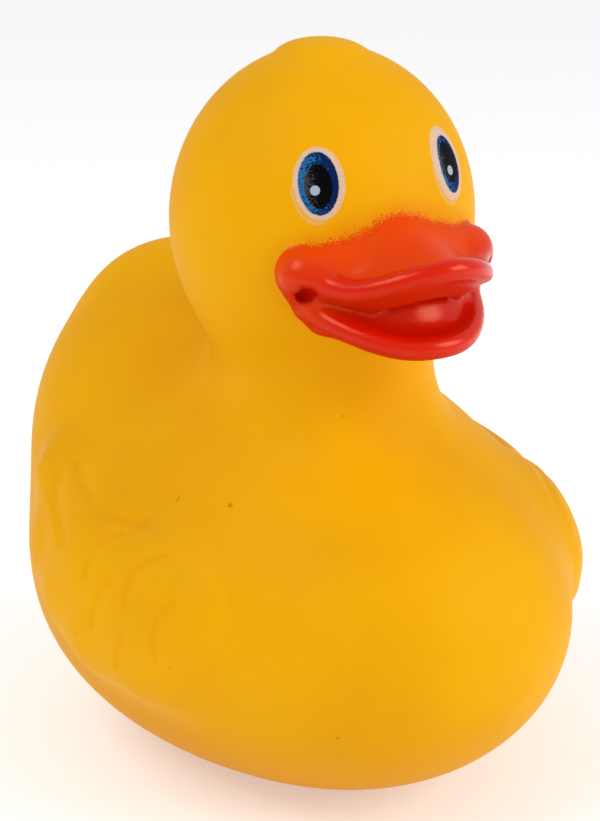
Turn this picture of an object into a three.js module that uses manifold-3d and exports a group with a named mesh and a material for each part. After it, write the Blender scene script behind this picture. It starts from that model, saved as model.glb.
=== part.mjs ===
// A bath duck: one hollow vinyl moulding that stands on a small flat under its hull.
// Millimetres, +Z up. The duck faces -Y and its left wing is on +X. The origin is on the table,
// under the middle of the moulding.
import * as THREE from 'three';
import { mergeVertices } from 'three/addons/utils/BufferGeometryUtils.js';
import Module from 'manifold-3d';

// ---- driving dimensions -------------------------------------------------------------------
const ORIGIN_SHIFT = new THREE.Vector3(0, 4.4, 2.7); // from the moulding's working axes to the part's
const WALL = 2.0;               // vinyl thickness
const VENT_RADIUS = 1.6;        // air hole through the flat of the base
const VENT_Y = 2.0;
const SHAPE_CENTRE = [0, -3, 42];  // every point of the body is in plain sight from here
const BODY_DETAIL = 14;         // subdivisions of the outer skin
const CAVITY_DETAIL = 7;        // and of the inner one
const BILL_DETAIL = 12;
const BILL_SQUEEZE = 0.45;      // below 1, more of the bill's points go to the edges of its lips

const HEAD = { centre: [0, -3.0, 73.2], radii: [18.8, 17.6, 20.7] };
const CROWN_TUFT = { rise: 19.5, back: 0.5, radii: [5.2, 5.2, 1.9] };
const NECK = { low: [-3.6, 44.4], high: [-5.2, 50.5], lowRadius: 14.2, highRadius: 11.0 };
const HULL = { centre: [0, 7.0, 25.6], radii: [32.0, 32.4, 24.4], tilt: 2 };
const BREAST = { centre: [0, -11.3, 25.5], radii: [25.8, 28.0, 21.0] };
const RUMP = { centre: [0, 24.0, 38.0], radii: [23.2, 25.3, 18.7], tilt: 28 };
const TAIL = { root: [25.9, 43.6], tip: [35.6, 55.4], rootRadius: 9.2, tipRadius: 5.0, flat: 1.6 };
const WING_PROUD = { shoulder: 3.2, tip: 2.1, from: -2, run: 16 }; // how far it stands off the hull
const WING_SHOULDER = { top: [-13.2, 31.2], bottom: [-12.0, 27.6], radii: [10.0, 9.6] };
const WING_ARM = { root: [-6.0, 31.0], tip: [17.5, 39.5], radii: [7.5, 3.6] };
const WING_FEATHERS = [[-3.2, 26.0, 6.6], [4.2, 29.3, 6.2], [11.4, 33.1, 5.5]];

// the bill, measured forward of the head's centre and up from it
const BILL_PIVOT = 10.1;        // the middle of the bill's rounded outline, forward
const MOUTH_CORNER = 64;        // degrees either side of the front
const BILL_END = 66;            // and where the lips run out
const UPPER = { side: 12.6, reach: 19.2, bead: 1.3 };
const LOWER = { side: 12.4, reach: 17.2, lip: 1.35 };
const MOUTH_WALL = { side: 10.9, reach: 13.6, middle: -6.2, half: 3.2 };
const CHEEK = { a: [11.4, 14.6, -2.5], b: [10.8, 14.8, -6.0], radii: [2.4, 1.7] };
const FOLD = { a: [11.0, 14.7, -2.9], b: [7.6, 16.0, -2.1], radii: [2.4, 2.3] };
const PIT = { centre: [12.2, 17.1, -4.4], radii: [1.0, 2.2, 1.1] };
const MOUTH_BACK = { centre: [0, 19.0, -2.7], radii: [5.0, 3.4, 1.2] }; // closes the slot behind

// ---- rules: distance to a surface, negative inside ------------------------------------------
const clamp = (v, low, high) => Math.min(Math.max(v, low), high);
const radians = (degrees) => (degrees * Math.PI) / 180;

function ease(t) {
  const s = clamp(t, 0, 1);
  return s * s * (3 - 2 * s);
}

// joins two rules with a fillet that reaches k either side of the seam
function blend(a, b, k) {
  const h = Math.max(k - Math.abs(a - b), 0) / k;
  return Math.min(a, b) - (h * h * h * k) / 6;
}

const keep = (a, b, k) => -blend(-a, -b, k);

function egg([px, py, pz], { centre, radii, tilt = 0 }) {
  const c = Math.cos(radians(tilt));
  const s = Math.sin(radians(tilt));
  const [x, dy, dz] = [px - centre[0], py - centre[1], pz - centre[2]];
  const [y, z] = [c * dy + s * dz, c * dz - s * dy];
  const k0 = Math.hypot(x / radii[0], y / radii[1], z / radii[2]);
  const k1 = Math.hypot(x / radii[0] ** 2, y / radii[1] ** 2, z / radii[2] ** 2) + 1e-9;
  return (k0 * (k0 - 1)) / k1;
}

// a tapered bar in the (u, v) plane; away is the distance out of that plane
function bar(u, v, [au, av], [bu, bv], ra, rb, away = 0, curve = ease) {
  const [du, dv] = [bu - au, bv - av];
  const t = clamp(((u - au) * du + (v - av) * dv) / (du * du + dv * dv), 0, 1);
  return Math.hypot(u - au - t * du, v - av - t * dv, away) - (ra + (rb - ra) * curve(t));
}

// a tapered rod between two spots in space
function rod(p, { a, b, radii: [ra, rb] }) {
  const run = b.map((v, i) => v - a[i]);
  const off = p.map((v, i) => v - a[i]);
  const along = off.reduce((sum, v, i) => sum + v * run[i], 0);
  const t = clamp(along / run.reduce((sum, v) => sum + v * v, 0), 0, 1);
  return Math.hypot(...off.map((v, i) => v - t * run[i])) - (ra + (rb - ra) * ease(t));
}

function wingOutline(y, z) {
  const { top, bottom, radii: shoulder } = WING_SHOULDER;
  const { root, tip, radii: arm } = WING_ARM;
  let d = blend(bar(y, z, top, bottom, ...shoulder), bar(y, z, root, tip, ...arm), 5);
  for (const [fy, fz, radius] of WING_FEATHERS) {
    d = blend(d, Math.hypot(y - fy, z - fz) - radius, 5);
  }
  return d;
}

function body(p) {
  const [x, y, z] = p;
  let d = blend(egg(p, HULL), egg(p, BREAST), 15);
  d = blend(d, egg(p, RUMP), 18);
  d = blend(d, bar(y, z, TAIL.root, TAIL.tip, TAIL.rootRadius, TAIL.tipRadius, x / TAIL.flat), 15);
  const { shoulder, tip, from, run } = WING_PROUD;
  const proud = shoulder + (tip - shoulder) * ease((y - from) / run);
  d = blend(d, keep(d - proud, wingOutline(y, z), 9), 5);
  d = blend(d, bar(y, z, NECK.low, NECK.high, NECK.lowRadius, NECK.highRadius, x), 18);
  d = blend(d, egg(p, HEAD), 12);
  const [hx, hy, hz] = HEAD.centre;
  const crown = [hx, hy + CROWN_TUFT.back, hz + CROWN_TUFT.rise];
  return blend(d, egg(p, { centre: crown, radii: CROWN_TUFT.radii }), 1.6);
}

// the bill's own axes: turn round the pivot, reach out from it, height over the head's centre
function billAxes([px, py, pz]) {
  const across = Math.abs(px);
  const forward = HEAD.centre[1] - py - BILL_PIVOT;
  const turn = Math.atan2(across, forward);
  return { across, forward, turn, reach: Math.hypot(across, forward), z: pz - HEAD.centre[2] };
}

function outline({ turn }, { side, reach }) {
  return 1 / Math.hypot(Math.sin(turn) / side, Math.max(Math.cos(turn), 0) / reach);
}

const straight = (s) => s;

function upperBill(p) {
  const at = billAxes(p);
  const t = clamp(at.turn / radians(MOUTH_CORNER), 0, 1.3);
  const rim = outline(at, UPPER);
  const lip = -0.4 - 2.9 * ease(t / 0.66) + 1.4 * ease((t - 0.7) / 0.4);
  const mouth = -3.6 - 2.1 * ease(t / 0.6) + 0.3 * ease((t - 0.6) / 0.5);
  const bead = Math.hypot(at.reach - rim + UPPER.bead, at.z - lip) - UPPER.bead;
  const face = bar(at.reach, at.z, [rim - 2.4, lip - 0.6], [rim - 4.7, mouth], 1.3, 0.9, 0, straight);
  const inner = [4, 1.0 - 0.2 * t + 1.1 * ease((t - 0.5) / 0.35)];
  const outer = [rim - 3.4, lip - 0.8 + 0.8 * ease((t - 0.2) / 0.4)];
  const plate = bar(at.reach, at.z, inner, outer, 3.6, 0.9, 0, straight);
  const lips = keep(blend(blend(bead, face, 0.8), plate, 1.4), (at.turn - radians(BILL_END)) * 13, 4.5);
  const spot = [at.across, at.forward + BILL_PIVOT, at.z];
  return blend(blend(lips, rod(spot, FOLD), 4), rod(spot, CHEEK), 4);
}

function lowerBill(p) {
  const at = billAxes(p);
  const t = clamp(at.turn / radians(MOUTH_CORNER), 0, 1.3);
  const rim = outline(at, LOWER);
  const jaw = -9.95 + 2.95 * ease(t - 0.1);
  const lip = Math.hypot(at.reach - rim + LOWER.lip, at.z - jaw) - LOWER.lip;
  const outer = [rim - 3.2, jaw + 0.1 + ease((t - 0.3) / 0.4)];
  const shelf = bar(at.reach, at.z, [5, -6.6 + 2 * t], outer, 3.6 - 1.2 * t, 1.3, 0, straight);
  const slope = 0.89 * (at.reach - outline(at, MOUTH_WALL)) + 0.45 * (at.z - jaw - 1.6);
  const wall = keep(slope, Math.abs(at.z - MOUTH_WALL.middle) - MOUTH_WALL.half, 1.5);
  const lips = keep(blend(blend(lip, shelf, 1.6), wall, 0.8), (at.turn - radians(BILL_END)) * 13, 4.5);
  return blend(lips, rod([at.across, at.forward + BILL_PIVOT, at.z], CHEEK), 1);
}

// ---- solids -----------------------------------------------------------------------------------
const wasm = await Module();
wasm.setup();

// moves every vertex of a unit ball out along its own ray until it reaches the rule's surface
function ballOnto(rule, [cx, cy, cz], detail, farthest, squeeze = 1) {
  const geometry = new THREE.IcosahedronGeometry(1, detail);
  geometry.deleteAttribute('normal');
  geometry.deleteAttribute('uv');
  const ball = mergeVertices(geometry, 1e-4);
  const position = ball.getAttribute('position');
  const ray = new THREE.Vector3();
  for (let i = 0; i < position.count; i += 1) {
    ray.fromBufferAttribute(position, i);
    ray.z *= squeeze;
    ray.normalize();
    const at = (r) => [cx + ray.x * r, cy + ray.y * r, cz + ray.z * r];
    let outside = farthest;
    while (rule(at(outside)) > 0 && outside > 0.25) outside -= 0.25;
    let [low, high] = [outside, outside + 0.25];
    for (let step = 0; step < 30; step += 1) {
      const middle = (low + high) / 2;
      if (rule(at(middle)) > 0) high = middle;
      else low = middle;
    }
    position.setXYZ(i, ...at(low));
  }
  return ball;
}

function toSolid(geometry) {
  const plain = geometry.clone();
  plain.deleteAttribute('normal');
  plain.deleteAttribute('uv');
  const merged = mergeVertices(plain, 1e-4);
  return new wasm.Manifold(new wasm.Mesh({
    numProp: 3,
    vertProperties: new Float32Array(merged.getAttribute('position').array),
    triVerts: new Uint32Array(merged.getIndex().array),
  }));
}

function toGeometry(solid) {
  const { vertProperties, triVerts } = solid.getMesh();
  const geometry = new THREE.BufferGeometry();
  geometry.setAttribute('position', new THREE.BufferAttribute(new Float32Array(vertProperties), 3));
  geometry.setIndex(new THREE.BufferAttribute(new Uint32Array(triVerts), 1));
  geometry.computeVertexNormals();
  return geometry;
}

function duckShell() {
  const [, hy, hz] = HEAD.centre;
  const skin = toSolid(ballOnto(body, SHAPE_CENTRE, BODY_DETAIL, 75));
  const half = (rule, forward, up) =>
    toSolid(ballOnto(rule, [0, hy - forward, hz + up], BILL_DETAIL, 24, BILL_SQUEEZE));
  const upper = half(upperBill, 15.5, -1.6);
  const lower = half(lowerBill, 14.5, -8.2);
  const eggOnHead = ({ centre, radii }, side = 1) => {
    const ball = new THREE.SphereGeometry(1, 16, 10);
    ball.scale(...radii);
    ball.translate(side * centre[0], hy - centre[1], hz + centre[2]);
    return toSolid(ball);
  };
  const floor = ORIGIN_SHIFT.z;
  const cavityRule = (p) => keep(body(p) + WALL, floor + WALL - p[2], 1.5);
  const cavity = toSolid(ballOnto(cavityRule, SHAPE_CENTRE, CAVITY_DETAIL, 75));

  const under = new THREE.BoxGeometry(120, 120, 20);
  under.translate(0, 0, floor - 10);
  const vent = new THREE.CylinderGeometry(VENT_RADIUS, VENT_RADIUS, 12, 24);
  vent.rotateX(Math.PI / 2);
  vent.translate(0, VENT_Y + ORIGIN_SHIFT.y, floor);

  const bill = upper.add(lower).add(eggOnHead(MOUTH_BACK));
  let solid = skin.add(bill.subtract(eggOnHead(PIT, -1)).subtract(eggOnHead(PIT, 1)));
  solid = solid.subtract(toSolid(under)).subtract(cavity).subtract(toSolid(vent));
  const geometry = toGeometry(solid);
  geometry.translate(-ORIGIN_SHIFT.x, -ORIGIN_SHIFT.y, -ORIGIN_SHIFT.z);
  return geometry;
}

// ---- the object ---------------------------------------------------------------------------------
const vinyl = new THREE.MeshStandardMaterial({ color: 0xf2ad00, roughness: 0.45, metalness: 0 });

const duck = new THREE.Group();
const shell = new THREE.Mesh(duckShell(), vinyl);
shell.name = 'duck_shell';
duck.add(shell);

export default duck;
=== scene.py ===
# %% [markdown]
# # A moulded bath duck
# The real object is one hollow vinyl moulding with a painted bill and printed eyes. There is
# nothing to assemble, so the work is one good surface and the paint on it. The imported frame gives
# the size and the box that the surface has to stay inside.

import math

import bmesh
import bpy
import numpy as np
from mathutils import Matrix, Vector, kdtree


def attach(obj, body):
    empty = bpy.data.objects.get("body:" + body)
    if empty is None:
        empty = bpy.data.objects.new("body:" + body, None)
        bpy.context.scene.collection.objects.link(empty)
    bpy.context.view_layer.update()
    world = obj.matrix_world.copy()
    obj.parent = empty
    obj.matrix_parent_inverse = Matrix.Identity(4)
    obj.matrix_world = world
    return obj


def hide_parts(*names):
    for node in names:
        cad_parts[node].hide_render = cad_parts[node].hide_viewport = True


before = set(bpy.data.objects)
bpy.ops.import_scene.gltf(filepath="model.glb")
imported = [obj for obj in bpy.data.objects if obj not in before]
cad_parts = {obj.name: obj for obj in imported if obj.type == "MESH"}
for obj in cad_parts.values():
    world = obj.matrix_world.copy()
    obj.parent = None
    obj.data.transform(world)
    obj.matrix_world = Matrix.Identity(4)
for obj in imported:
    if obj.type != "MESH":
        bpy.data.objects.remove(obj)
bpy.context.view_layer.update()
MM = 0.001
STAND = np.array([0.0, 4.4, 2.7])  # from the moulding's working axes to the part's origin

# %% [markdown]
# ## The shape as a rule
# A duck could be sculpted by hand or built from subdivided boxes. Here each volume is a distance
# rule instead: a number that is negative inside, nought on the skin and positive outside. Rules
# are joined with a fillet, as a mould maker blends one volume into the next, and every size in
# them stays a number that can be read and changed.


# %% Small rules that the duck is built from
def blend(a, b, reach):
    """Joins two volumes with a fillet that reaches this far either side of their seam."""
    near = np.maximum(reach - np.abs(a - b), 0.0) / reach
    return np.minimum(a, b) - near**3 * reach / 6.0


def keep(a, b, reach):
    """Keeps only what is inside both, with the edge between them rounded."""
    return -blend(-a, -b, reach)


def ease(t):
    t = np.clip(t, 0.0, 1.0)
    return t * t * (3.0 - 2.0 * t)


def egg(p, centre, radii, tilt=0.0):
    x, y, z = (p[i] - centre[i] for i in range(3))
    c, s = math.cos(math.radians(tilt)), math.sin(math.radians(tilt))
    y, z = c * y + s * z, c * z - s * y
    rx, ry, rz = radii
    near = np.sqrt((x / rx) ** 2 + (y / ry) ** 2 + (z / rz) ** 2)
    slope = np.sqrt((x / rx**2) ** 2 + (y / ry**2) ** 2 + (z / rz**2) ** 2) + 1e-9
    return near * (near - 1.0) / slope


def bar(u, v, a, b, ra, rb, away=0.0, curve=ease):
    """A tapered bar in the (u, v) plane; away is the distance out of that plane."""
    du, dv = b[0] - a[0], b[1] - a[1]
    t = np.clip(((u - a[0]) * du + (v - a[1]) * dv) / (du * du + dv * dv), 0.0, 1.0)
    off = (u - a[0] - t * du) ** 2 + (v - a[1] - t * dv) ** 2 + away**2
    return np.sqrt(off) - (ra + (rb - ra) * curve(t))


def rod(p, a, b, ra, rb):
    """A tapered rod between two spots in space."""
    run, off = [b[i] - a[i] for i in range(3)], [p[i] - a[i] for i in range(3)]
    t = np.clip(sum(o * r for o, r in zip(off, run)) / sum(r * r for r in run), 0.0, 1.0)
    return np.sqrt(sum((o - t * r) ** 2 for o, r in zip(off, run))) - (ra + (rb - ra) * ease(t))


# %% [markdown]
# ## Hull, wings, neck and head
# The hull is two eggs that share a fillet, with a third for the raised back and a flattened bar for
# the tail. A wing is not a separate lump: it is the hull's own skin pushed out by a few
# millimetres inside the wing's side outline, so it follows the hull as a moulded wing does.

# %% The body's rule
HEAD_BACK, HEAD_UP = -3.0, 73.2
HEAD = (18.8, 17.6, 20.7)
HEAD_LEVEL = HEAD_UP - STAND[2]  # the head's middle over the base
WING_PROUD = (3.2, 2.1)  # off the hull, at the shoulder and at the tip


def wing_outline(y, z):
    shoulder = bar(y, z, (-13.2, 31.2), (-12.0, 27.6), 10.0, 9.6)
    arm = bar(y, z, (-6.0, 31.0), (17.5, 39.5), 7.5, 3.6)
    d = blend(shoulder, arm, 5.0)
    for along, up, radius in ((-3.2, 26.0, 6.6), (4.2, 29.3, 6.2), (11.4, 33.1, 5.5)):
        d = blend(d, np.hypot(y - along, z - up) - radius, 5.0)
    return d


def body(p):
    x, y, z = p
    d = blend(
        egg(p, (0, 7.0, 25.6), (32.0, 32.4, 24.4), 2),
        egg(p, (0, -11.3, 25.5), (25.8, 28.0, 21.0)),
        15.0,
    )
    d = blend(d, egg(p, (0, 24.0, 38.0), (23.2, 25.3, 18.7), 28), 18.0)
    d = blend(d, bar(y, z, (25.9, 43.6), (35.6, 55.4), 9.2, 5.0, x / 1.6), 15.0)
    proud = WING_PROUD[0] + (WING_PROUD[1] - WING_PROUD[0]) * ease((y + 2.0) / 16.0)
    d = blend(d, keep(d - proud, wing_outline(y, z), 9.0), 5.0)
    d = blend(d, bar(y, z, (-3.6, 44.4), (-5.2, 50.5), 14.2, 11.0, x), 18.0)
    d = blend(d, egg(p, (0, HEAD_BACK, HEAD_UP), HEAD), 12.0)
    return blend(d, egg(p, (0, HEAD_BACK + 0.5, HEAD_UP + 19.5), (5.2, 5.2, 1.9)), 1.6)


print("head top over the base, mm:", round(HEAD_LEVEL + HEAD[2], 1))

# %% [markdown]
# ## The bill
# Seen from above, each half of the bill is half an oval, and its cross-section hardly changes
# round that oval. So the section is described once, in reach from a pivot inside the head and
# height, and turned round the pivot like a lathe profile whose radius varies. The upper half is a
# sloping plate that ends in a bead, with a face below that runs back to the mouth line and a roof
# behind that face. The lower half is a lip with a shelf behind it and a steep wall that closes the
# mouth. A round cheek covers each corner, with a small pit where the two lips meet.


# %% The bill's rule
CHEEK = ((11.4, 14.6, -2.5), (10.8, 14.8, -6.0), 2.4, 1.7)
FOLD = ((11.0, 14.7, -2.9), (7.6, 16.0, -2.1), 2.4, 2.3)
PIT = ((12.2, 17.1, -4.4), (1.0, 2.2, 1.1))
CORNER = math.radians(64.0)  # how far round from the front a mouth corner is
PIVOT = 10.1  # the middle of the bill's rounded outline, forward of the head's middle
UPPER_RIM, LOWER_RIM, MOUTH_WALL = (12.6, 19.2), (12.4, 17.2), (10.9, 13.6)  # to the side, ahead
BEAD, LOWER_LIP = 1.3, 1.35
VENT_BACK, VENT_RADIUS = 6.4, 1.6


def straight(t):
    return t


def oval_reach(turn, size):
    """The reach of an oval at this turn from the front."""
    return 1.0 / np.hypot(np.sin(turn) / size[0], np.maximum(np.cos(turn), 0.0) / size[1])


def bill_axes(p):
    across, forward = np.abs(p[0]), HEAD_BACK - p[1]
    turn, reach = np.arctan2(across, forward - PIVOT), np.hypot(across, forward - PIVOT)
    return across, forward, p[2] - HEAD_UP, turn, reach


def in_from_lip(p):
    """How far a spot is in from the edge of the upper lip, seen from above."""
    *_, turn, reach = bill_axes(p)
    return oval_reach(turn, UPPER_RIM) - reach


def bill(p):
    across, forward, z, turn, reach = bill_axes(p)
    t = np.clip(turn / CORNER, 0.0, 1.3)

    rim = oval_reach(turn, UPPER_RIM)
    lip = -0.4 - 2.9 * ease(t / 0.66) + 1.4 * ease((t - 0.7) / 0.4)
    mouth = -3.6 - 2.1 * ease(t / 0.6) + 0.3 * ease((t - 0.6) / 0.5)
    bead = np.hypot(reach - rim + BEAD, z - lip) - BEAD
    face = bar(reach, z, (rim - 2.4, lip - 0.6), (rim - 4.7, mouth), 1.3, 0.9, 0, straight)
    inner = (4.0, 1.0 - 0.2 * t + 1.1 * ease((t - 0.5) / 0.35))
    outer = (rim - 3.4, lip - 0.8 + 0.8 * ease((t - 0.2) / 0.4))
    plate = bar(reach, z, inner, outer, 3.6, 0.9, 0, straight)
    upper = blend(blend(bead, face, 0.8), plate, 1.4)
    roof = keep(reach - rim + 4.7, keep(mouth - 0.3 - z, z - lip + 0.9, 0.5), 0.5)
    upper = blend(upper, roof, 0.6)

    rim = oval_reach(turn, LOWER_RIM)
    jaw = -9.95 + 2.95 * ease(t - 0.1)
    lip = np.hypot(reach - rim + LOWER_LIP, z - jaw) - LOWER_LIP
    inner, outer = (5.0, -6.6 + 2.0 * t), (rim - 3.2, jaw + 0.1 + ease((t - 0.3) / 0.4))
    shelf = bar(reach, z, inner, outer, 3.6 - 1.2 * t, 1.3, 0, straight)
    wall = 0.89 * (reach - oval_reach(turn, MOUTH_WALL)) + 0.45 * (z - jaw - 1.6)
    wall = keep(wall, np.abs(z + 6.2) - 3.2, 1.5)
    lower = blend(blend(lip, shelf, 1.6), wall, 0.8)

    end, spot = (turn - CORNER - 0.035) * 13.0, (across, forward, z)
    upper = blend(keep(upper, end, 4.5), rod(spot, *FOLD), 4.0)
    both = blend(upper, keep(lower, end, 4.5), 0.6)
    return blend(both, rod(spot, *CHEEK), 4.0)


def duck(p):
    """The whole moulding, in millimetres from the part's origin."""
    p = [p[i] + STAND[i] for i in range(3)]
    x, y, z = p
    d = blend(body(p), bill(p), 1.2)
    corner = (np.abs(x), HEAD_BACK - y, z - HEAD_UP)
    d = keep(d, -egg(corner, *PIT), 0.6)
    d = keep(d, STAND[2] - z, 1.0)
    vent = np.maximum(np.hypot(x, y - VENT_BACK) - VENT_RADIUS, z - STAND[2] - 3.5)
    return keep(d, -vent, 0.5)


# %% [markdown]
# ## From rule to mesh
# A grid of cells is laid over the rule. Each cell that the skin passes through gets one vertex, and
# each grid line that the skin crosses gets one quad between the four cells round it. The vertices
# are then slid along the rule's own slope until they lie on the skin. Blender's Volume to Mesh node
# works much the same way, but sliding the vertices keeps lips and creases sharp with fewer faces.


# %% Skin a rule with quads
def slide_onto(rule, points, steps=4):
    """Moves points along the rule's slope until they are on its skin."""
    small = 0.01
    for _ in range(steps):
        value = rule(points.T)
        slope = np.stack(
            [
                (rule((points + small * axis).T) - rule((points - small * axis).T)) / (2 * small)
                for axis in np.eye(3)
            ],
            axis=1,
        )
        size = np.maximum((slope**2).sum(axis=1), 0.05)
        points = points - np.clip(value / size, -0.8, 0.8)[:, None] * slope
    return points


def skin(rule, low, high, cell):
    low = np.array(low, dtype=float)
    axes = [np.arange(a, b, cell) for a, b in zip(low, high)]
    value = rule(np.meshgrid(*axes, indexing="ij"))
    steps = [(i, j, k) for i in (0, 1) for j in (0, 1) for k in (0, 1)]
    nx, ny, nz = (n - 1 for n in value.shape)
    corner = np.stack([value[i : nx + i, j : ny + j, k : nz + k] for i, j, k in steps])
    crossed = (corner.min(axis=0) < 0) & (corner.max(axis=0) >= 0)
    corner = corner[:, crossed]
    number = np.full(crossed.shape, -1)
    number[crossed] = np.arange(crossed.sum())
    place, hits = np.zeros((crossed.sum(), 3)), np.zeros(crossed.sum())
    for a in range(8):
        for b in range(a + 1, 8):
            edge = np.subtract(steps[b], steps[a])
            if np.abs(edge).sum() != 1:
                continue
            cut = (corner[a] < 0) != (corner[b] < 0)
            share = np.where(cut, corner[a] / np.where(cut, corner[a] - corner[b], 1.0), 0.0)
            place += np.where(cut[:, None], steps[a] + share[:, None] * edge, 0.0)
            hits += cut
    points = low + cell * (np.argwhere(crossed) + place / hits[:, None])
    inside, quads = value < 0, []
    for axis in range(3):
        flip = np.moveaxis(inside, axis, 0)
        begin, end = flip[:-1], flip[1:]
        u, w = (axis + 1) % 3, (axis + 2) % 3
        found = np.argwhere(begin != end)
        rest = [i for i in range(3) if i != axis]
        spot = np.zeros((len(found), 3), dtype=int)
        spot[:, axis], spot[:, rest[0]], spot[:, rest[1]] = found.T
        ring = []
        for du, dw in ((1, 1), (0, 1), (0, 0), (1, 0)):
            near = spot.copy()
            near[:, u] -= du
            near[:, w] -= dw
            ring.append(number[near[:, 0], near[:, 1], near[:, 2]])
        ring = np.stack(ring, axis=1)
        outward = begin[tuple(found.T)]
        ring[~outward] = ring[~outward][:, ::-1]
        quads.append(ring)
    return slide_onto(rule, points), np.concatenate(quads)


points, quads = skin(duck, (-38.25, -47.3, -3.2), (38.2, 47.0, 95.0), 0.9)
print("skinned with", len(points), "vertices and", len(quads), "quads")

# %% [markdown]
# ## Finer where the detail is
# The hull is smooth and can keep its coarse quads, but the lips, the eyes and the lines on the
# wings are only a millimetre or two across. Faces near them are cut in four, and the new vertices
# slide onto the skin as well. First the wing lines are needed as curves that lie on the skin. Each
# is given by its knots in side view, as back and up in the moulding's working axes.


# %% Lines on the wings
def on_side(y, z):
    """The distance out from the middle plane at which the skin lies, at this side-view spot."""
    near, far = np.zeros_like(y), np.full_like(y, 45.0)
    for _ in range(40):
        middle = (near + far) / 2
        within = duck([middle, y, z]) < 0
        near, far = np.where(within, middle, near), np.where(within, far, middle)
    return near


def smooth_path(knots, count):
    """An even run of points along a smooth path through these side-view knots."""
    knots = np.array(knots, dtype=float)
    ends = np.vstack([2 * knots[0] - knots[1], knots, 2 * knots[-1] - knots[-2]])
    path = []
    for i in range(len(knots) - 1):
        a, b, c, d = ends[i : i + 4]
        for t in np.linspace(0, 1, count, endpoint=False):
            path.append(
                0.5 * (2 * b + (c - a) * t + (2 * a - 5 * b + 4 * c - d) * t**2
                       + (3 * b - a - 3 * c + d) * t**3)
            )
    path.append(knots[-1])
    return np.array(path)


WING_EDGE = [
    ((-6.0, 39.5), (-9.7, 39.7), (-14.9, 39.2), (-17.4, 38.6), (-19.4, 37.5), (-21.2, 35.8),
     (-22.4, 33.7), (-23.0, 31.4), (-22.9, 28.8), (-22.0, 26.0), (-20.0, 23.2), (-17.4, 20.8))
]
GROOVES = [
    ((11.9, 41.8), (8.7, 40.8), (5.4, 40.1), (2.0, 39.5), (-0.8, 39.3), (-3.4, 39.3), (-6.0, 39.5)),
    ((12.8, 40.3), (11.3, 38.7), (8.6, 37.4), (5.4, 36.2), (3.5, 35.2)),
]
FEATHERS = [
    ((-16.4, 26.3), (-16.0, 28.8), (-15.9, 30.7), (-16.5, 32.5), (-17.5, 33.5)),
    ((-3.2, 33.0), (-2.8, 34.5), (-2.8, 36.1), (-3.4, 37.3), (-4.4, 38.2)),
    ((-10.7, 31.8), (-10.5, 33.9), (-10.6, 35.7), (-11.6, 37.1), (-13.0, 38.1)),
    ((-10.1, 23.6), (-10.5, 25.8), (-11.2, 27.7)),
    ((-5.8, 27.7), (-6.2, 31.1), (-6.6, 32.5), (-7.4, 33.9)),
]


def lines_on_wings(name, paths):
    """A curve object with each path laid on both wings, and the same points as an array."""
    data = bpy.data.curves.new(name, "CURVE")
    data.dimensions = "3D"
    everything = []
    for knots in paths:
        path = smooth_path(knots, 8) - STAND[1:]
        for side in (-1, 1):
            out = on_side(path[:, 0], path[:, 1])
            laid = np.column_stack([side * out, path])
            spline = data.splines.new("POLY")
            spline.points.add(len(laid) - 1)
            rows = np.column_stack([laid * MM, np.ones(len(laid))])
            spline.points.foreach_set("co", rows.ravel())
            everything.append(laid)
    obj = bpy.data.objects.new(name, data)
    bpy.context.scene.collection.objects.link(obj)
    return obj, np.concatenate(everything)


wing_edge, edge_points = lines_on_wings("wing edge line", WING_EDGE)
grooves, groove_points = lines_on_wings("grooves", GROOVES)
feathers, feather_points = lines_on_wings("feather lines", FEATHERS)
print("laid", len(WING_EDGE + GROOVES + FEATHERS), "lines on each wing")

# %% Build the mesh and cut it finer where it matters
EYE_AWAY, EYE_UP = math.radians(30.5), 8.0  # round from the front, and over the head's centre
EYE_FLAT = math.sqrt(1 - (EYE_UP / HEAD[2]) ** 2)
EYE = np.array(
    [
        HEAD[0] * EYE_FLAT * math.sin(EYE_AWAY),
        HEAD_BACK - HEAD[1] * EYE_FLAT * math.cos(EYE_AWAY),
        HEAD_UP + EYE_UP,
    ]
) - STAND

form = bmesh.new()
for point in points:
    form.verts.new(point)
form.verts.ensure_lookup_table()
for quad in quads:
    form.faces.new([form.verts[i] for i in quad])


def finer(form, wanted):
    """Cuts the faces whose middles are wanted in four, and slides every vertex onto the skin."""
    middles = np.array([face.calc_center_median() for face in form.faces])
    chosen = wanted(middles)
    edges = {edge for face, yes in zip(form.faces, chosen) if yes for edge in face.edges}
    bmesh.ops.subdivide_edges(form, edges=list(edges), cuts=1, use_grid_fill=True)
    places = slide_onto(duck, np.array([vert.co for vert in form.verts]), 3)
    for vert, place in zip(form.verts, places):
        vert.co = place


def near_lines(middles, lines, distance):
    tree = kdtree.KDTree(len(lines))
    for i, line in enumerate(lines):
        tree.insert(line, i)
    tree.balance()
    return np.array([tree.find(middle)[2] < distance for middle in middles])


def near_face(middles):
    x, y, z = middles.T
    head = np.abs(z - HEAD_LEVEL + 4.5) < 10.5
    front = y < HEAD_BACK - STAND[1] - 10.0
    eyes = np.hypot(np.hypot(np.abs(x) - EYE[0], y - EYE[1]), z - EYE[2]) < 5.6
    crown = z > HEAD_LEVEL + HEAD[2] - 1.6
    vent = (z < 4) & (np.hypot(x, y - VENT_BACK + STAND[1]) < 2 * VENT_RADIUS)
    return (head & front) | eyes | crown | vent


all_lines = np.concatenate([edge_points, groove_points, feather_points])
finer(form, lambda m: near_face(m) | near_lines(m, all_lines, 2.2))
finer(form, lambda m: near_lines(m, feather_points, 1.2))
bmesh.ops.recalc_face_normals(form, faces=form.faces)
open_edges = sum(not edge.is_manifold for edge in form.edges)
print("faces", len(form.faces), "edges that aren't closed:", open_edges)

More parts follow.
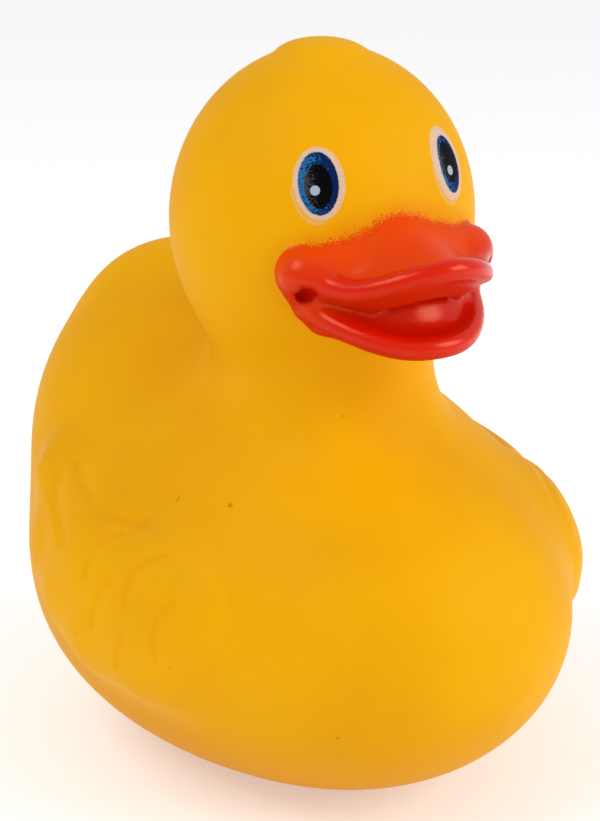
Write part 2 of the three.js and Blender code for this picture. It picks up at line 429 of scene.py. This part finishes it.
# %% [markdown]
# ## What the paint needs to know
# Paint on the bill stops where the bill meets the head, and gets thicker towards the lips. Both are
# distances that the rules already know. The gun was held in front, so the lips got a thick and
# glossy coat, while the top and the undersides got a thin and dull one. The distance in from the
# lip's edge and how far the skin faces up tell them apart. How far it faces up also darkens the red
# on the undersides, as painted shade. All four are stored on the mesh as attributes that the
# material reads. They stay with the surface, so the paint can't slide.

# %% Store the distances and make the object
mesh = bpy.data.meshes.new("duck_skin")
form.to_mesh(mesh)
form.free()
places = np.empty(len(mesh.vertices) * 3)
mesh.vertices.foreach_get("co", places)
places = places.reshape(-1, 3)
places[np.abs(places[:, 2]) < 2e-3, 2] = 0.0
working = (places + STAND).T
head_skin, bill_skin = body(working), bill(working)
facing = np.empty(len(mesh.vertices) * 3)
mesh.vertices.foreach_get("normal", facing)
for name, values in (
    ("bill edge", bill_skin - head_skin),
    ("proud of head", head_skin),
    ("in from lip", in_from_lip(working)),
    ("faces up", facing[2::3]),
):
    layer = mesh.attributes.new(name, "FLOAT", "POINT")
    layer.data.foreach_set("value", values.astype(np.float32))
mesh.vertices.foreach_set("co", (places * MM).ravel())
mesh.update()
skin_object = bpy.data.objects.new("duck_skin", mesh)
bpy.context.scene.collection.objects.link(skin_object)
print("triangles:", sum(len(face.vertices) - 2 for face in mesh.polygons))


# %% [markdown]
# ## Writing a material as sums
# A material is a graph of nodes, which is slow to read. The small class below holds one socket and
# lets Python's own operators add the Math nodes, so a mask reads like a formula. One method adds
# any other kind of node.


# %% A socket that can be added and multiplied
class Socket:
    def __init__(self, tree, socket):
        self.tree, self.socket = tree, socket

    def node(self, kind, settings=(), **inputs):
        """Adds a node: its settings first, then the values or links of its inputs."""
        node = self.tree.nodes.new(kind)
        for name, value in dict(settings).items():
            setattr(node, name, value)
        for name, value in inputs.items():
            key = int(name[1:]) if name[0] == "_" and name[1:].isdigit() else name.replace("_", " ")
            target = node.inputs[key]
            if isinstance(value, Socket):
                self.tree.links.new(value.socket, target)
            else:
                target.default_value = value
        return node

    def out(self, node, name=0):
        return Socket(self.tree, node.outputs[name])

    def maths(self, operation, *values):
        inputs = {f"_{i}": value for i, value in enumerate(values)}
        return self.out(self.node("ShaderNodeMath", {"operation": operation}, **inputs))

    def __add__(self, other):
        return self.maths("ADD", self, other)

    def __sub__(self, other):
        return self.maths("SUBTRACT", self, other)

    def __rsub__(self, other):
        return self.maths("SUBTRACT", other, self)

    def __mul__(self, other):
        return self.maths("MULTIPLY", self, other)

    def __truediv__(self, other):
        return self.maths("DIVIDE", self, other)

    __radd__, __rmul__ = __add__, __mul__

    def root(self):
        return self.maths("SQRT", self)

    def size(self):
        return self.maths("ABSOLUTE", self)

    def distance_to(self, spot):
        settings, inputs = {"operation": "DISTANCE"}, {"_0": self, "_1": tuple(spot)}
        return self.out(self.node("ShaderNodeVectorMath", settings, **inputs), "Value")

    def step(self, low, high):
        """0 below low, 1 above high and smooth between; turned round when low is above high."""
        inputs = {"Value": self, "From_Min": low, "From_Max": high}
        settings = {"interpolation_type": "SMOOTHSTEP"}
        return self.out(self.node("ShaderNodeMapRange", settings, **inputs))

    def noise(self, scale, detail, rough):
        inputs = {"Vector": self, "Scale": scale, "Detail": detail, "Roughness": rough}
        return self.out(self.node("ShaderNodeTexNoise", **inputs))

    def mix(self, under, over):
        """Lays one colour over another, with this socket as the mask."""
        node = self.node("ShaderNodeMix", {"data_type": "RGBA"}, _0=self, _6=under, _7=over)
        return self.out(node, 2)


def colour(r, g, b):
    """A linear colour from the 0 to 255 numbers that a paint chart gives."""
    part = [v / 255 for v in (r, g, b)]
    linear = [v / 12.92 if v <= 0.04045 else ((v + 0.055) / 1.055) ** 2.4 for v in part]
    return (*linear, 1.0)


print("yellow vinyl in linear light:", [round(v, 3) for v in colour(240, 172, 0)])

# %% [markdown]
# ## Vinyl, paint and print
# The moulding is golden vinyl with a soft satin skin, a little cloudy inside. The bill was sprayed
# through a mask: a glossy red-orange, thin and speckled where it fades onto the head, thick and
# red on the lips. The eyes were pad printed in white, then blue, then black, with a pale dot, and
# the print has ragged edges and small gaps.

# %% One material for the whole moulding
vinyl = bpy.data.materials.new("painted vinyl")
vinyl.use_nodes = True
tree = vinyl.node_tree
tree.nodes.clear()
start = Socket(tree, None)
place = start.out(start.node("ShaderNodeTexCoord"), "Object")
scale = start.node("ShaderNodeVectorMath", {"operation": "SCALE"}, _0=place, Scale=1 / MM)
place = start.out(scale)


def attribute(name):
    return start.out(start.node("ShaderNodeAttribute", {"attribute_name": name}), "Fac")


grain = place.noise(0.55, 4.0, 0.6)
speck = place.noise(6.5, 2.0, 0.6)
coarse = place.noise(3.6, 2.0, 0.65)
cloud = place.noise(0.05, 2.0, 0.5)

split = start.node("ShaderNodeSeparateXYZ", Vector=place)
x, y, z = (Socket(tree, split.outputs[i]) for i in range(3))

# yellow vinyl in slow clouds, with painted shade that makes it deeper low down
yellow = cloud.step(0.35, 0.65).mix(colour(231, 163, 0), colour(236, 170, 1))
yellow = (z.step(26.0, 0.0) * 0.85).mix(yellow, colour(212, 144, 0))

# this duck's own marks: a soft spot over the wing, a short hair and small specks. Each lies between
# two ends, and has a width and a darkness
MARKS = (
    ((-19.3, -18.8, 40.3), (-19.3, -18.8, 40.3), 0.45, 0.60),
    ((-22.2, -11.7, 39.9), (-23.0, -12.2, 39.1), 0.02, 0.45),
    ((-5.3, -21.3, 49.7), (-5.3, -21.3, 49.7), 0.26, 0.35),
    ((-15.3, -36.9, 16.7), (-15.3, -36.9, 16.7), 0.26, 0.55),
    ((-29.0, -18.9, 32.4), (-29.0, -18.9, 32.4), 0.20, 0.30),
    ((-34.4, -7.3, 22.9), (-34.4, -7.3, 22.9), 0.22, 0.35),
    ((-29.5, -22.5, 23.1), (-29.5, -22.5, 23.1), 0.22, 0.30),
    ((-16.9, -14.9, 43.4), (-16.9, -14.9, 43.4), 0.20, 0.30),
)
for *ends, width, strength in MARKS:
    a, b = slide_onto(duck, np.array(ends), 6)
    past = place.distance_to(a) + place.distance_to(b) - float(np.linalg.norm(b - a))
    yellow = (past.step(2 * width, 0.6 * width) * strength).mix(yellow, colour(150, 90, 5))

# %% The bill's paint
edge = attribute("bill edge")
proud = attribute("proud of head")
up = attribute("faces up")
lip = attribute("in from lip")
above = z.step(HEAD_LEVEL - 4.0, HEAD_LEVEL - 1.0) * x.size().step(12.0, 10.0)
ragged = (speck - 0.5) * (0.6 + 3.0 * above) + (grain - 0.5) * (0.3 + 0.3 * above)
paint = (edge + ragged).step(0.46, 0.24)
haze = (edge + ragged * 0.3).step(2.6, 0.0) * (0.15 + 0.35 * above)
body_colour = haze.mix(yellow, colour(233, 120, 0))
thick = (proud + (grain - 0.5) * 1.6).step(0.6, 5.5)
top = lip.step(1.9, 3.2) * up.step(0.2, 0.6) * z.step(HEAD_LEVEL - 5.0, HEAD_LEVEL - 4.0)
# the undersides are duller, and their darker red is painted shade
under = up.step(0.05, -0.55)
red = (thick * (1.0 - top * 0.75)).mix(colour(229, 70, 0), colour(211, 22, 0))
red = (under * 0.75).mix(red, colour(196, 38, 0))
drops = coarse.step(0.52, 0.60) * (edge + ragged).step(-1.6, 0.2) * above
red = (drops * 0.45).mix(red, colour(190, 42, 0))
# the pit at each mouth corner gets a very dark red, as painted shade in the hollow
pit_side, pit_front, pit_up = PIT[0]
a, b, c = x.size() - pit_side, y + (pit_front - HEAD_BACK + STAND[1]), z - (pit_up + HEAD_LEVEL)
pit = (a * a + c * c + b * b * 0.2).root().step(1.4, 0.9)
red = pit.mix(red, colour(200, 6, 0))
body_colour = paint.mix(body_colour, red)

# %% The printed eyes
# Each eye has its own flat axes on the head: out to the side, and up. Working with the distance
# from the middle plane as a positive number prints both at once.
offset = (EYE + STAND) - np.array([0.0, HEAD_BACK, HEAD_UP])
normal = offset / np.array(HEAD) ** 2
normal /= np.linalg.norm(normal)
out_axis = np.cross([0.0, 0.0, 1.0], normal)
out_axis /= np.linalg.norm(out_axis)
up_axis = np.cross(normal, out_axis)
lean = math.radians(5.0)
out_axis, up_axis = (
    math.cos(lean) * out_axis - math.sin(lean) * up_axis,
    math.cos(lean) * up_axis + math.sin(lean) * out_axis,
)
rx, ry, rz = x.size() - EYE[0], y - EYE[1], z - EYE[2]
eye_u = rx * out_axis[0] + ry * out_axis[1] + rz * out_axis[2]
eye_v = rx * up_axis[0] + ry * up_axis[1] + rz * up_axis[2]
eye_depth = (rx * normal[0] + ry * normal[1] + rz * normal[2]).step(-6.0, -5.0)


def oval(u, v, wide, tall, shift=(0.0, 0.0), wobble=0.0):
    """How far outside an oval a spot is, as a share of the oval's size."""
    a, b = (u - shift[0]) / wide, (v - shift[1]) / tall
    return (a * a + b * b).root() + wobble


# The pad's prints didn't land alike on both sides, so each size and shift is given for the duck's
# right eye and then for its left one.
side = start.maths("SIGN", x)


def either(right_eye, left_eye):
    return side * ((left_eye - right_eye) / 2) + (left_eye + right_eye) / 2


tooth, waver = (speck - 0.5) * 0.14, (speck - 0.5) * 0.05
shift = (0.0, either(-0.25, 0.17))
white_oval = oval(eye_u, eye_v, 3.00, either(4.24, 4.52), shift, waver)
white = white_oval.step(1.02, 0.97)

# a second white print slipped towards the duck's right, and shows as a thin arc
slip, shift = side * -0.28, (0.0, either(-0.63, -0.21))
arc_oval = oval(eye_u - slip, eye_v, 3.03, either(4.32, 4.60), shift, waver)
arc = arc_oval.step(1.01, 0.98) * arc_oval.step(0.91, 0.95) * eye_v.step(0.5, -1.5)
arc = arc * (eye_u * slip).step(-0.3, 0.3)

shift = (either(0.09, 0.29), either(-0.25, 0.03))
iris = oval(eye_u, eye_v, either(2.34, 2.05), either(3.65, 3.47), shift, tooth).step(1.015, 0.985)
shift = (either(0.12, 0.25), either(-0.57, 0.20))
pupil = oval(eye_u, eye_v, either(1.60, 1.71), either(2.60, 2.48), shift, tooth).step(1.02, 0.98)
shift = (either(0.54, 0.13), either(-1.02, -0.77))
dot = oval(eye_u, eye_v, 0.57, 0.57, shift, tooth).step(1.08, 0.92)

# the ink's tooth shows as lighter flecks, and a painted sheen lightens the blue and the black
# towards one side
painted_sheen = side * eye_u * -0.17
fleck = (coarse - 0.5) * 2.6 + (speck - 0.5) * 1.4
cream = speck.step(0.35, 0.65).mix(colour(222, 192, 170), colour(208, 172, 142))
blue = (fleck + painted_sheen * 1.3).step(0.02, 0.30).mix(colour(0, 28, 80), colour(36, 102, 156))
black = (fleck * 0.7 + painted_sheen * 2.6).step(0.30, 0.62).mix(colour(0, 0, 2), colour(64, 60, 62))
printed = (arc * eye_depth * 0.55).mix(body_colour, cream)
printed = (white * eye_depth).mix(printed, cream)
printed = (iris * eye_depth).mix(printed, blue)
printed = (pupil * eye_depth).mix(printed, black)
printed = (dot * eye_depth).mix(printed, colour(164, 172, 186))
print("eyes printed at mm:", [round(float(v), 1) for v in EYE])

# %% Gloss and fine bumps
# The paint is glossy where it is thick, and its highlights are tinted by the red under them. A
# second shader gives that, and the mask between the two is how glossy the spot is.
ink = white * eye_depth
shine = 0.50 + (place.noise(0.9, 3.0, 0.6) - 0.5) * 0.10
dry = (proud + (grain - 0.5) * 1.2).step(1.0, 4.0)  # the overspray near the head is duller
dull = (1.0 - pit * 0.8) * (1.0 - under * 0.75) * (1.0 - top * 0.7)
gloss = paint * (0.45 + 0.55 * dry) * dull
height = (speck - 0.5) * (0.004 + 0.030 * paint) + (grain - 0.5) * 0.02 + paint * 0.03 + ink * 0.03
bump = start.node("ShaderNodeBump", Height=height, Strength=0.6, Distance=0.001)
soft = {
    "Subsurface_Weight": 0.10,
    "Subsurface_Radius": (1.0, 0.45, 0.12),
    "Subsurface_Scale": 3 * MM,
}
satin = start.node(
    "ShaderNodeBsdfPrincipled",
    Base_Color=printed,
    Roughness=shine,
    Normal=start.out(bump),
    Specular_IOR_Level=0.06,
    **soft,
)
glossy = start.node(
    "ShaderNodeBsdfPrincipled",
    Base_Color=printed,
    Roughness=(speck - 0.5) * 0.08 + 0.10,
    Normal=start.out(bump),
    Specular_IOR_Level=0.62,
    Specular_Tint=(1.0, 0.42, 0.24, 1.0),
    **soft,
)
surface = start.node("ShaderNodeMixShader", _0=gloss, _1=start.out(satin), _2=start.out(glossy))
start.node("ShaderNodeOutputMaterial", Surface=start.out(surface))
print("material nodes:", len(tree.nodes))

# %% [markdown]
# ## Pressing the lines into the wings
# The mould has a shallow line along each wing's edge and short feather lines inside it. They follow
# paths, so Geometry Nodes press them: each vertex asks how far the nearest line is and sinks along
# its normal by a soft groove profile. The same tree serves both sets of lines with its own depth
# and width.


# %% The pressing tree
def pressing_tree():
    tree = bpy.data.node_groups.new("press lines", "GeometryNodeTree")
    face = tree.interface
    face.new_socket("Geometry", in_out="INPUT", socket_type="NodeSocketGeometry")
    for name, kind in (
        ("Lines", "NodeSocketObject"),
        ("Depth", "NodeSocketFloat"),
        ("Width", "NodeSocketFloat"),
        ("Finish", "NodeSocketMaterial"),
    ):
        face.new_socket(name, in_out="INPUT", socket_type=kind)
    face.new_socket("Geometry", in_out="OUTPUT", socket_type="NodeSocketGeometry")
    base = Socket(tree, None)
    given = base.node("NodeGroupInput")
    value = {s.name: Socket(tree, s) for s in given.outputs}
    lines = base.node("GeometryNodeObjectInfo", Object=value["Lines"])
    wires = base.node("GeometryNodeCurveToMesh", Curve=base.out(lines, "Geometry"))
    near = base.node("GeometryNodeProximity", {"target_element": "EDGES"}, _0=base.out(wires))
    far = base.out(near, "Distance") / value["Width"]
    groove = base.maths("EXPONENT", far * far * -1.0) * value["Depth"] * -1.0
    normal = base.out(base.node("GeometryNodeInputNormal"))
    push = base.node("ShaderNodeVectorMath", {"operation": "SCALE"}, _0=normal, Scale=groove)
    moved = base.node("GeometryNodeSetPosition", Geometry=value["Geometry"], Offset=base.out(push))
    real = base.node("GeometryNodeRealizeInstances", Geometry=base.out(moved))
    done = base.node("GeometryNodeSetMaterial", Geometry=base.out(real), Material=value["Finish"])
    base.node("NodeGroupOutput", Geometry=base.out(done))
    return tree


press = pressing_tree()
slots = {
    item.name: item.identifier
    for item in press.interface.items_tree
    if item.in_out == "INPUT"
}
for lines, depth, width in ((wing_edge, 0.22, 1.0), (grooves, 0.42, 0.9), (feathers, 0.30, 0.5)):
    modifier = skin_object.modifiers.new(lines.name, "NODES")
    modifier.node_group = press
    modifier[slots["Lines"]] = lines
    modifier[slots["Depth"]] = depth * MM
    modifier[slots["Width"]] = width * MM
    modifier[slots["Finish"]] = vinyl

# %% Turn the result into a plain mesh
bpy.context.view_layer.update()
graph = bpy.context.evaluated_depsgraph_get()
evaluated = skin_object.evaluated_get(graph)
pressed = bpy.data.meshes.new_from_object(
    evaluated, preserve_all_data_layers=True, depsgraph=graph
)
skin_object.modifiers.clear()
skin_object.data = pressed
pressed.shade_smooth()
for obj in (wing_edge, grooves, feathers):
    bpy.data.objects.remove(obj)
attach(skin_object, "root")
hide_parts("duck_shell")
print("pressed skin:", len(pressed.vertices), "vertices, materials", pressed.materials.keys())

# %% [markdown]
# ## The table and the light
# The table is a white acrylic sheet lit a little from below, as is usual for a product on plain
# white. A soft light stands high at the camera's left, a second one at the right, and a bright
# room fills in the rest.

# %% Floor, lights and camera
stage_mesh = bpy.data.meshes.new("table")
stage_mesh.from_pydata([(-3, -3, 0), (3, -3, 0), (3, 3, 0), (-3, 3, 0)], [], [(0, 1, 2, 3)])
table = bpy.data.objects.new("table", stage_mesh)
bpy.context.scene.collection.objects.link(table)
pale = bpy.data.materials.new("pale table")
pale.use_nodes = True
sheet = pale.node_tree.nodes["Principled BSDF"].inputs
sheet["Base Color"].default_value = (0.80, 0.80, 0.80, 1)
sheet["Roughness"].default_value = 0.9
sheet["Emission Color"].default_value = (1, 1, 1, 1)
sheet["Emission Strength"].default_value = 0.36
stage_mesh.materials.append(pale)

world = bpy.data.worlds.new("bright room")
world.use_nodes = True
room = world.node_tree.nodes["Background"].inputs
room["Color"].default_value = (1.0, 1.0, 1.0, 1)
room["Strength"].default_value = 0.60
bpy.context.scene.world = world

TARGET = Vector((0.0, -4.4, 44.7)) * MM
CAMERA_AWAY, CAMERA_UP, CAMERA_DISTANCE = math.radians(-30.47), math.radians(18.24), 322.0 * MM
back = Vector(
    (
        math.sin(CAMERA_AWAY) * math.cos(CAMERA_UP),
        -math.cos(CAMERA_AWAY) * math.cos(CAMERA_UP),
        math.sin(CAMERA_UP),
    )
)
right = Vector((0, 0, 1)).cross(back).normalized()
upward = back.cross(right)


def soft_light(name, across, up, towards, size, power):
    """A square soft light, placed across, up and towards the camera from the duck."""
    data = bpy.data.lights.new(name, "AREA")
    data.size, data.energy = size, power
    light = bpy.data.objects.new(name, data)
    light.location = TARGET + right * across + upward * up + back * towards
    light.rotation_euler = (light.location - TARGET).to_track_quat("Z", "Y").to_euler()
    bpy.context.scene.collection.objects.link(light)
    return light


soft_light("soft light left", -0.35, 0.42, 0.38, 0.34, 1.45)
soft_light("soft light right", 0.50, 0.18, 0.22, 0.33, 1.35)

lens = bpy.data.cameras.new("camera")
lens.sensor_fit, lens.sensor_width, lens.lens = "HORIZONTAL", 36.0, 154.5
camera = bpy.data.objects.new("camera", lens)
aim = TARGET - right * 1.2 * MM
camera.location = TARGET + back * CAMERA_DISTANCE
camera.rotation_euler = (camera.location - aim).to_track_quat("Z", "Y").to_euler()
bpy.context.scene.collection.objects.link(camera)
bpy.context.scene.camera = camera
bpy.context.scene.view_settings.view_transform = "Standard"
print("camera at mm:", [round(v / MM, 1) for v in camera.location])
